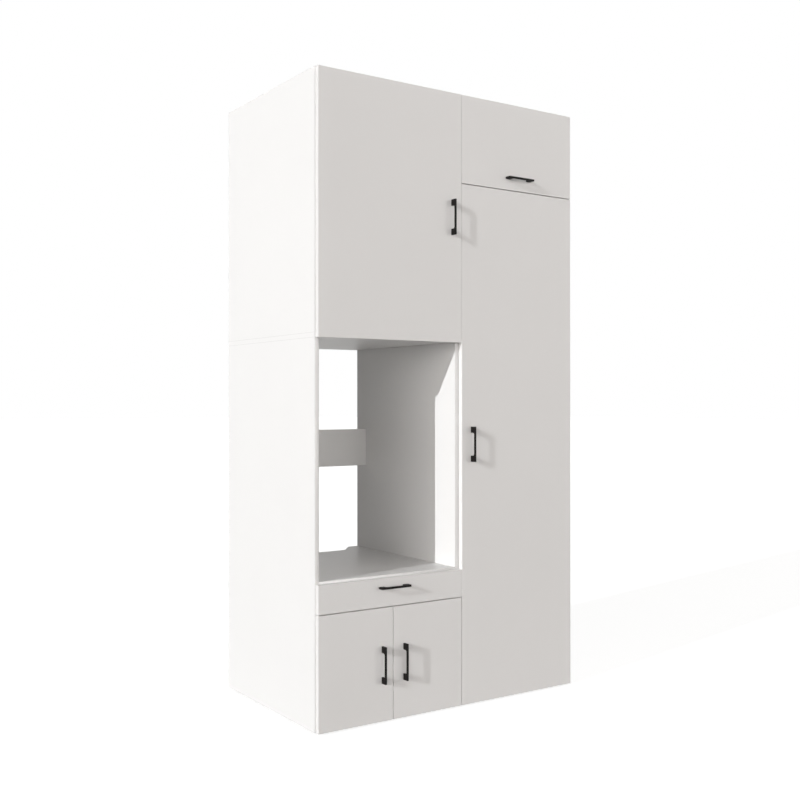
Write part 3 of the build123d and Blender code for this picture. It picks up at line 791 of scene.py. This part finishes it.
@dataclass
class Piece:
    """One named piece of the cabinet, gathered from shapes."""

    name: str
    finish: bpy.types.Material
    slot: str
    shape: bmesh.types.BMesh = field(default_factory=bmesh.new)

    def add(self, part: bmesh.types.BMesh, place: Matrix | None = None) -> None:
        """Copy a shape into the piece.

        Args:
            part: The shape.
            place: Where it goes; left out, it stays where it is.
        """
        copy = bpy.data.meshes.new("part")
        part.to_mesh(copy)
        if place is not None:
            copy.transform(place)
        self.shape.from_mesh(copy)
        bpy.data.meshes.remove(copy)

    def done(
        self, body: str, replaces: tuple[str, ...] = (), smooth: float = 35.0
    ) -> bpy.types.Object:
        """Turn the piece into an object that rides on a body.

        Args:
            body: The CAD body that carries it.
            replaces: CAD nodes that it stands for.
            smooth: Largest angle in degrees that is shaded smooth.

        Returns:
            The object.
        """
        mesh = bpy.data.meshes.new(self.name)
        bmesh.ops.recalc_face_normals(self.shape, faces=self.shape.faces)
        for face in self.shape.faces:
            face.smooth = True
        limit = math.radians(smooth)
        for edge in self.shape.edges:
            edge.smooth = len(edge.link_faces) == 2 and edge.calc_face_angle() < limit
        self.shape.to_mesh(mesh)
        self.shape.free()
        mesh.materials.append(self.finish)
        made = bpy.data.objects.new(self.name, mesh)
        bpy.context.scene.collection.objects.link(made)
        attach(made, body)
        if replaces:
            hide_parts(*replaces)
        LOG.info("made %s with %d faces on %s", self.name, len(mesh.polygons), body)
        return made


@dataclass
class Carcass:
    """Boards of the four units, their backs and the edging on their front edges."""

    edging: float = 0.4
    easing: float = 0.7
    units: dict[str, tuple[str, ...]] = field(
        default_factory=lambda: {
            "washer": ("side_left", "side_right", "ceiling", "floor"),
            "base": ("bottom",),
            "upper": ("side_left", "side_right", "top", "bottom", "shelves"),
            "tall": ("side_left", "side_right", "top", "bottom", "shelves"),
            "loft": ("side_left", "side_right", "top", "bottom"),
        }
    )
    rails: tuple[str, ...] = ("washer_back_rail", "upper_fixing_rail", "loft_fixing_rail")
    backs: tuple[str, ...] = ("base_back", "upper_back", "tall_back", "loft_back")

    def dress(self) -> None:
        """Give every board its finish."""
        plain = BoardFinish("white_rail").make()
        lacquer = LacquerFinish("white_lacquer").make()
        for unit, boards in self.units.items():
            for node in (f"{unit}_{board}" for board in boards):
                # The carcass boards' dark outline is painted shade of the seams where they meet
                # their neighbours.
                line = None if node.endswith("shelves") else JointAndSeamShade(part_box(node))
                dress(node, BoardFinish(f"{node}_white", raw_rear=True, line=line).make())
        for node in self.rails:
            dress(node, plain)
        for node in self.backs:
            dress(node, lacquer)

    def edge_bands(self) -> None:
        """Lay thin edging on the front edge of every board, unit by unit."""
        colour = tint(232, 231, 230)
        finish = BoardFinish("white_edging", colour, least_rough=0.28, most_rough=0.36).make()
        for unit, boards in self.units.items():
            piece = Piece(f"{unit}_edging", finish, "carcass_board")
            for low, high in (box for board in boards for box in solids_of(f"{unit}_{board}")):
                front = Vector((high.x, low.y, high.z))
                ahead = Vector((low.x, low.y - self.edging * MM, low.z))
                piece.add(block(ahead, front, self.edging * self.easing))
            piece.done("carcass")


@dataclass
class Fronts:
    """The five hinged fronts and the drawer's front."""

    names: tuple[str, ...] = (*HINGED, "drawer_front")
    colour: Colour = tint(228, 226, 225)
    joint_inset: float = 1.5
    joint_width: float = 0.1
    joint_depth: float = 0.12

    def dress(self) -> None:
        """Give each front a finish with the edging's joint at its own outline."""
        for name in self.names:
            line = JointAndSeamShade(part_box(name), self.joint_inset, self.joint_width, self.joint_depth)
            finish = BoardFinish(f"{name}_white", colour=self.colour, line=line)
            dress(name, finish.make())


@dataclass
class Bumpers:
    """Small clear pads that keep the closed fronts off the boards behind them."""

    radius: float = 4.0
    height: float = 1.6
    end: float = 40.0
    deep: float = 9.0

    def places(self) -> dict[str, list[tuple[float, float]]]:
        """Work out where each front meets a board.

        Returns:
            Places (x, z) of the pads by body.
        """
        end, deep = self.end * MM, self.deep * MM
        upper, tall, flap = (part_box(n) for n in ("upper_door", "tall_door", "loft_flap"))
        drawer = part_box("drawer_front")
        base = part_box("base_bottom")
        middle_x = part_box("tall_side_left")[0].x
        left, right = (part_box(n) for n in ("base_door_left", "base_door_right"))
        base_z = base[0].z + deep
        return {
            "upper_door": [(middle_x - deep, z) for z in (upper[0].z + end, upper[1].z - end)],
            "tall_door": [(middle_x + deep, z) for z in (tall[0].z + end, tall[1].z - end)],
            "loft_flap": [(x, flap[0].z + deep) for x in (flap[0].x + end, flap[1].x - end)],
            "base_door_left": [(left[1].x - end, base_z)],
            "base_door_right": [(right[0].x + end, base_z)],
            "drawer": [(x, drawer[1].z - end) for x in (drawer[0].x + deep, middle_x - deep)],
        }

    def build(self) -> None:
        """Build the pads of every front."""
        finish = MouldedFinish("clear_pad", tint(206, 207, 205), 0.25, 0.35).make()
        r, h = self.radius, self.height
        dome = [(0, 0), (r, 0), (r, h * 0.4), (r * 0.8, h * 0.8), (r * 0.45, h), (0, h)]
        shape = turned(dome, 20)
        for body, places in self.places().items():
            piece = Piece(f"{body}_pads", finish, "front_board")
            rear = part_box("drawer_front" if body == "drawer" else body)[1].y
            for x, z in places:
                piece.add(shape, facing(Vector((x, rear, z)), Vector((0, 1, 0))))
            piece.done(body)


@dataclass
class BowHandle:
    """A flat bow handle with box-shaped posts, and its two screws."""

    node: str
    body: str
    bar: float = 5.0
    post: float = 24.0
    corner: float = 4.0
    ease: float = 0.6
    screw_head: float = 1.6

    def bow(self, finish: bpy.types.Material) -> None:
        """Build the bow from one outline.

        Args:
            finish: The handle's finish.
        """
        low, high = max(solids_of(self.node), key=lambda b: (b[1] - b[0]).length)
        upright = high.z - low.z > high.x - low.x
        half = (high.z - low.z if upright else high.x - low.x) / 2
        reach = high.y - low.y
        foot = half - self.post * MM
        neck = reach - self.bar * MM
        cut = self.corner * MM
        right = [(0, reach), (half, reach), (half, 0), (foot, 0)]
        right += [(foot, neck - cut), (foot - cut, neck), (0, neck)]
        left = [(-x, y) for x, y in reversed(right[1:-1])]
        shape = bmesh.new()
        corners = [shape.verts.new((x, y, 0)) for x, y in right + left]
        face = shape.faces.new(corners)
        wide = high.x - low.x if upright else high.z - low.z
        grown = bmesh.ops.extrude_face_region(shape, geom=[face])["geom"]
        moved = [v for v in grown if isinstance(v, bmesh.types.BMVert)]
        bmesh.ops.translate(shape, vec=(0, 0, wide), verts=moved)
        bmesh.ops.translate(shape, vec=(0, 0, -wide / 2), verts=shape.verts)
        bmesh.ops.recalc_face_normals(shape, faces=shape.faces)
        bmesh.ops.dissolve_limit(shape, angle_limit=0.01, verts=shape.verts, edges=shape.edges)
        soften(shape, self.ease)
        middle = (low + high) / 2
        along = Vector((0, 0, 1)) if upright else Vector((1, 0, 0))
        out = Vector((0, -1, 0))
        turn = Matrix((along, out, along.cross(out))).transposed().to_4x4()
        place = Matrix.Translation(Vector((middle.x, high.y, middle.z))) @ turn
        piece = Piece(f"{self.node}_bow", finish, "black_metal")
        piece.add(shape, place)
        piece.done(self.body, (self.node,))

    def screws(self, finish: bpy.types.Material) -> None:
        """Build the two screws that come through the front from behind.

        Args:
            finish: The screws' finish.
        """
        boxes = sorted(solids_of(self.node), key=lambda b: (b[1] - b[0]).length)[:2]
        piece = Piece(f"{self.node}_screws", finish, "nickel")
        for low, high in boxes:
            length = (high.y - low.y) / MM
            under_head = length - self.screw_head
            profile = [(0, 0), (1.6, 0), (2, 0.5), (2, under_head), (3.8, under_head)]
            profile += [(3.8, length - 0.7), (3.2, length - 0.15), (2.5, length)]
            shape = headed(profile, Drive.CROSS, 2.0, 1.0)
            foot = Vector(((low.x + high.x) / 2, low.y, (low.z + high.z) / 2))
            piece.add(shape, facing(foot, Vector((0, 1, 0))))
        piece.done(self.body)

    def build(self, coat: bpy.types.Material, steel: bpy.types.Material) -> None:
        """Build the bow and its screws.

        Args:
            coat: The bow's finish.
            steel: The screws' finish.
        """
        self.bow(coat)
        self.screws(steel)


@dataclass
class Fittings:
    """Glides, shelf pins, cam locks and connecting bolts of the carcass."""

    pin_bite: float = 9.0
    near: float = 3.0

    def glides(self) -> None:
        """Turn the glides with a rounded foot."""
        finish = MouldedFinish("black_moulding", tint(34, 34, 35)).make()
        piece = Piece("glide_feet", finish, "black_plastic")
        profile = [(0, 0), (16, 0), (17.4, 0.6), (18, 2), (18, 6.4), (17, 7.6), (15.5, 8)]
        profile += [(4, 8), (4, 20), (0, 20)]
        shape = turned(profile, 36)
        for low, high in solids_of("glides"):
            foot = Vector(((low.x + high.x) / 2, (low.y + high.y) / 2, low.z))
            piece.add(shape, Matrix.Translation(foot))
        piece.done("carcass", ("glides",))

    def shelf_pins(self, steel: bpy.types.Material) -> None:
        """Turn the shelf pins with eased ends and set them in the boards' sides.

        Args:
            steel: The pins' finish.
        """
        piece = Piece("shelf_pin_set", steel, "nickel")
        profile = [(0, 0), (1.9, 0), (2.5, 0.8), (2.5, 8), (2.5, 16.4), (2.0, 17), (0, 17)]
        shape = turned(profile, 16)
        for low, high in solids_of("shelf_pins"):
            centre = (low + high) / 2
            in_upper = centre.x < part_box("upper_side_right")[1].x
            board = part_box("upper_side_left" if in_upper else "tall_side_left")
            left = abs(low.x - board[1].x) < self.pin_bite * MM
            foot = Vector((low.x if left else high.x, centre.y, centre.z))
            piece.add(shape, facing(foot, Vector((1 if left else -1, 0, 0))))
        piece.done("carcass", ("shelf_pins",))

    def cam_locks(self, zinc: bpy.types.Material) -> None:
        """Build the cam locks with a cross recess.

        Args:
            zinc: The locks' finish.
        """
        piece = Piece("cam_lock_set", zinc, "zinc")
        profile = [(0, 0), (7.1, 0), (7.5, 0.4), (7.5, 11.4), (7.1, 12), (5.2, 12), (4.9, 11.7)]
        shape = headed(profile, Drive.CROSS, 3.4, 3.0)
        for low, high in solids_of("cam_locks"):
            centre = (low + high) / 2
            up = self.opens_up(high.z)
            foot = Vector((centre.x, centre.y, low.z if up else high.z))
            piece.add(shape, facing(foot, Vector((0, 0, 1 if up else -1))))
        piece.done("carcass", ("cam_locks",))

    def opens_up(self, top: float) -> bool:
        """Tell whether a cam lock's top lies in the upper face of a board.

        Args:
            top: Height of the lock's upper end.

        Returns:
            True if that face is the board's.
        """
        boards = ("base_bottom", "upper_bottom", "tall_bottom", "loft_bottom")
        return any(abs(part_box(board)[1].z - top) < MM for board in boards)

    def bolts(self, zinc: bpy.types.Material) -> None:
        """Build the connecting bolts with a hex socket on each side, save at the niche's ceiling,
        where a white domed cap stands in place of one socket.

        Args:
            zinc: The bolts' finish.
        """
        piece = Piece("unit_bolt_set", zinc, "zinc")
        white = MouldedFinish("white_cap", tint(229, 228, 227)).make()
        caps = Piece("niche_bolt_caps", white, "carcass_board")
        profile = [(0, -0.05), (4, -0.05), (4, 18), (7, 18), (7, 18.7), (6.2, 19.4), (5.2, 19.5)]
        shape = headed(profile, Drive.HEX, 2.9, 1.2)
        dome = [(0, 0), (4, 0), (4, 18), (7, 18), (7, 18.5), (6, 19.2), (3.5, 19.5), (0, 19.5)]
        domed = turned(dome)
        niche_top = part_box("washer_ceiling")[0].z
        for low, high in solids_of("unit_bolts"):
            centre = (low + high) / 2
            axis = Vector((1, 0, 0)) if high.x - low.x > high.z - low.z else Vector((0, 0, 1))
            piece.add(shape, facing(centre, axis))
            if abs(low.z - niche_top) < self.near * MM:
                caps.add(domed, facing(centre, -axis))
            else:
                piece.add(shape, facing(centre, -axis))
        piece.done("carcass", ("unit_bolts",))
        caps.done("carcass")


class HungFrom(Enum):
    """Edge that a front is hinged at, as the direction from it into the opening."""

    LEFT = (1, 0, 0)
    RIGHT = (-1, 0, 0)
    TOP = (0, 0, -1)


@dataclass
class Hinges:
    """Plating of the concealed hinges, and the screws that fix and set them."""

    hung: dict[str, HungFrom] = field(
        default_factory=lambda: {
            "upper_door": HungFrom.LEFT,
            "tall_door": HungFrom.RIGHT,
            "base_door_left": HungFrom.LEFT,
            "base_door_right": HungFrom.RIGHT,
            "loft_flap": HungFrom.TOP,
        }
    )
    ear_step: float = 21.5
    ear_shift: float = 5.0
    plate_step: float = 21.0
    plate_depth: float = 45.0
    arm_face: float = 15.5
    plate_face: float = 2.0
    setting_depths: tuple[float, float] = (24.0, 50.0)

    def dress(self, steel: bpy.types.Material) -> None:
        """Give the hinges' CAD nodes their plating.

        Args:
            steel: The plating.
        """
        dress("hinge_arms", steel)
        for front in self.hung:
            dress(f"{front}_cups", steel)
            dress(f"{front}_links", steel)

    def cup_screws(self, steel: bpy.types.Material) -> None:
        """Put a screw in each ear of each cup.

        Args:
            steel: The screws' finish.
        """
        profile = [(0, -0.4), (3.2, -0.4), (3.2, 0.1), (2.6, 0.5), (2.2, 0.6)]
        shape = headed(profile, Drive.CROSS, 1.8, 0.5)
        for front, edge in self.hung.items():
            inward = Vector(edge.value)
            across = inward.cross(Vector((0, 1, 0)))
            piece = Piece(f"{front}_cup_screws", steel, "nickel")
            for low, high in solids_of(f"{front}_cups"):
                centre = (low + high) / 2
                for side in (-1, 1):
                    offset = inward * self.ear_shift + across * side * self.ear_step
                    foot = centre + offset * MM
                    foot.y = high.y
                    piece.add(shape, facing(foot, Vector((0, 1, 0))))
            piece.done(front)

    def arm_screws(self, steel: bpy.types.Material) -> None:
        """Put the fixing screws in each mounting plate and the setting screws in each arm.

        Args:
            steel: The screws' finish.
        """
        pan = [(0, -0.5), (3.6, -0.5), (3.6, 0.3), (3.0, 1.0), (2.4, 1.2)]
        fixing = headed(pan, Drive.CROSS, 2.0, 0.8)
        grub = [(0, -0.5), (2.9, -0.5), (2.9, 0.5), (2.5, 0.9), (2.2, 0.9)]
        setting = headed(grub, Drive.CROSS, 1.8, 0.7)
        piece = Piece("hinge_arm_screws", steel, "nickel")
        for low, high in solids_of("hinge_arms"):
            inward = self.inward_of(low, high)
            across = inward.cross(Vector((0, 1, 0)))
            outer = Vector([high[i] if inward[i] < 0 else low[i] for i in range(3)])
            base = (low + high) / 2
            base = base - inward * inward.dot(base) + inward * inward.dot(outer)
            base.y = low.y
            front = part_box("washer_floor")[0].y
            for depth in self.setting_depths:
                foot = base + inward * self.arm_face * MM
                foot.y = front + depth * MM
                piece.add(setting, facing(foot, inward))
            for side in (-1, 1):
                foot = base + (inward * self.plate_face + across * side * self.plate_step) * MM
                foot.y = front + self.plate_depth * MM
                piece.add(fixing, facing(foot, inward))
        piece.done("carcass")

    def inward_of(self, low: Vector, high: Vector) -> Vector:
        """Find which way an arm looks from its box.

        Args:
            low: Lowest corner of the arm.
            high: Highest corner of the arm.

        Returns:
            The direction into the opening.
        """
        if high.x - low.x > high.z - low.z:
            return Vector(HungFrom.TOP.value)
        sides = ("washer_side_left", "upper_side_left")
        on_left = any(abs(low.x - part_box(board)[1].x) < MM for board in sides)
        return Vector(HungFrom.LEFT.value if on_left else HungFrom.RIGHT.value)


@dataclass
class Studio:
    """Camera at the photograph's place, plain pale floor and soft light."""

    place: Triple = (-2.5826, -3.0545, 1.1924)
    yaw: float = 28.40
    pitch: float = 0.16
    focal_pixels: float = 936.0
    centre_x: float = 206.8
    frame_pixels: float = 800.0
    sensor: float = 36.0
    softboxes: tuple[tuple[Triple, float], ...] = (
        ((-0.92, -0.38, 0.0), 8.0),
        ((0.0, -1.0, 0.0), 4.1),
        ((0.8, -0.6, 0.0), 5.4),
        ((1.0, 0.0, 0.0), 1.4),
        ((0.35, 0.94, 0.0), 2.6),
        ((0.0, 0.1, 1.0), 1.2),
    )
    soft_focus: float = 18.0
    round_light: float = 0.02
    soft_colour: Colour = tint(255, 252, 249)
    key_light: float = 2.3
    key_colour: Colour = (0.975, 0.988, 1.0)
    key_course: tuple[float, float] = (0.985, 0.172)
    key_height: float = 17.0
    key_spread: float = 0.3
    floor_glow: float = 0.85
    floor_colours: tuple[Colour, Colour] = (tint(160, 160, 159), tint(166, 166, 165))
    floor_reach: float = 60.0

    def camera(self) -> None:
        """Set the camera up with the photograph's place, lens and shift."""
        data = bpy.data.cameras.new("camera")
        data.sensor_width = self.sensor
        data.lens = self.focal_pixels / self.frame_pixels * self.sensor
        data.shift_x = (self.frame_pixels / 2 - self.centre_x) / self.frame_pixels
        data.clip_start = 0.05
        data.clip_end = 200.0
        made = bpy.data.objects.new("camera", data)
        made.location = self.place
        made.rotation_euler = (math.radians(90 + self.pitch), 0, math.radians(-self.yaw))
        bpy.context.scene.collection.objects.link(made)
        bpy.context.scene.camera = made

    def seen(self, bench: Bench) -> bpy.types.NodeSocket:
        """Mask of the rays that see the background directly, or in metal or glass.

        Args:
            bench: The tree's bench.

        Returns:
            The mask's output.
        """
        path = bench.node("ShaderNodeLightPath")
        total = bench.math("ADD", path.outputs["Is Camera Ray"], path.outputs["Is Glossy Ray"])
        total = bench.math("ADD", total, path.outputs["Is Transmission Ray"])
        return bench.math("MINIMUM", total, 1.0)

    def softbox(
        self, bench: Bench, where: bpy.types.NodeSocket, place: Triple, strength: float
    ) -> bpy.types.NodeSocket:
        """Wire a wide soft light that fades away from its own direction.

        Args:
            bench: The world's bench.
            where: Direction that is looked up.
            place: Direction of the light's middle.
            strength: Its strength there.

        Returns:
            The light's strength in the direction that is looked up.
        """
        facing = bench.node("ShaderNodeVectorMath", operation="DOT_PRODUCT")
        bench.feed(facing.inputs[0], where)
        facing.inputs[1].default_value = Vector(place).normalized()
        lobe = bench.math("MAXIMUM", facing.outputs["Value"], 0.0)
        return bench.math("MULTIPLY", bench.math("POWER", lobe, self.soft_focus), strength)

    def world(self) -> None:
        """Wide soft lights on a white background."""
        world = bpy.data.worlds.new("studio")
        world.use_nodes = True
        bpy.context.scene.world = world
        bench = Bench(world.node_tree)
        light = world.node_tree.nodes["Background"]
        where = bench.node("ShaderNodeTexCoord").outputs["Generated"]
        glow = self.round_light
        for place, power in self.softboxes:
            glow = bench.math("ADD", self.softbox(bench, where, place, power), glow)
        strength = bench.node("ShaderNodeMix", data_type="FLOAT")
        bench.feed(strength.inputs["Factor"], self.seen(bench))
        bench.feed(strength.inputs[2], glow)
        strength.inputs[3].default_value = 1.0
        bench.feed(light.inputs["Strength"], strength.outputs[0])
        colour = bench.blend(self.seen(bench), self.soft_colour, tint(255, 255, 255))
        bench.feed(light.inputs["Color"], colour)

    def key(self) -> None:
        """Low light from the left and a little in front, as the shadows show."""
        data = bpy.data.lights.new("key", "SUN")
        data.energy = self.key_light
        data.angle = math.radians(self.key_spread)
        data.color = self.key_colour
        made = bpy.data.objects.new("key", data)
        travel = Vector((*self.key_course, -math.tan(math.radians(self.key_height))))
        made.rotation_mode = "QUATERNION"
        made.rotation_quaternion = travel.to_track_quat("-Z", "Y")
        bpy.context.scene.collection.objects.link(made)

    def floor(self) -> None:
        """Lay a wide pale floor that shows white and keeps the shadow."""
        material, bench, shader = new_material("studio_floor")
        shader.inputs["Roughness"].default_value = 0.9
        shader.inputs["Specular IOR Level"].default_value = 0.1
        glow = bench.math("MULTIPLY", self.seen(bench), self.floor_glow)
        shade = bench.node("ShaderNodeTexNoise", Scale=1.2, Vector=bench.object_place())
        colour = bench.blend(shade.outputs["Fac"], *self.floor_colours)
        bench.feed(shader.inputs["Base Color"], colour)
        shader.inputs["Emission Color"].default_value = (1.0, 1.0, 1.0, 1.0)
        bench.feed(shader.inputs["Emission Strength"], glow)
        shape = bmesh.new()
        bmesh.ops.create_grid(shape, x_segments=1, y_segments=1, size=self.floor_reach)
        mesh = bpy.data.meshes.new("studio_floor")
        shape.to_mesh(mesh)
        shape.free()
        mesh.materials.append(material)
        made = bpy.data.objects.new("studio_floor", mesh)
        bpy.context.scene.collection.objects.link(made)

    def build(self) -> None:
        """Set up the whole studio."""
        self.camera()
        self.world()
        self.key()
        self.floor()
        bpy.context.scene.view_settings.view_transform = "Standard"


@dataclass
class DrawerBox:
    """Boards and slides of the drawer."""

    boards: tuple[str, ...] = ("drawer_side_left", "drawer_side_right", "drawer_back")
    slides: tuple[str, ...] = ("drawer_rails", "drawer_mid_slides", "drawer_inner_slides")

    def dress(self, zinc: bpy.types.Material) -> None:
        """Give the drawer's boards and slides their finishes.

        Args:
            zinc: Plating of the slides.
        """
        board = BoardFinish("drawer_white").make()
        for node in self.boards:
            dress(node, board)
        dress("drawer_base", LacquerFinish("drawer_lacquer").make())
        for node in self.slides:
            dress(node, zinc)


def main() -> None:
    """Build every sub-assembly in turn."""
    logging.basicConfig(level=logging.INFO, format="%(name)s: %(message)s")
    Studio().build()
    carcass = Carcass()
    carcass.dress()
    carcass.edge_bands()
    Fronts().dress()
    coat = PowderCoatFinish("black_coat").make()
    nickel = PlatedFinish("nickel_plate", tint(220, 217, 211)).make()
    zinc = PlatedFinish("zinc_plate", tint(186, 190, 194), 0.28, 0.45).make()
    for front in HINGED:
        BowHandle(f"{front}_handle", front).build(coat, nickel)
    BowHandle("drawer_handle", "drawer").build(coat, nickel)
    hinges = Hinges()
    hinges.dress(nickel)
    hinges.cup_screws(nickel)
    hinges.arm_screws(nickel)
    Bumpers().build()
    DrawerBox().dress(zinc)
    fittings = Fittings()
    fittings.glides()
    fittings.shelf_pins(nickel)
    fittings.cam_locks(zinc)
    fittings.bolts(zinc)


if __name__ == "__main__":
    main()
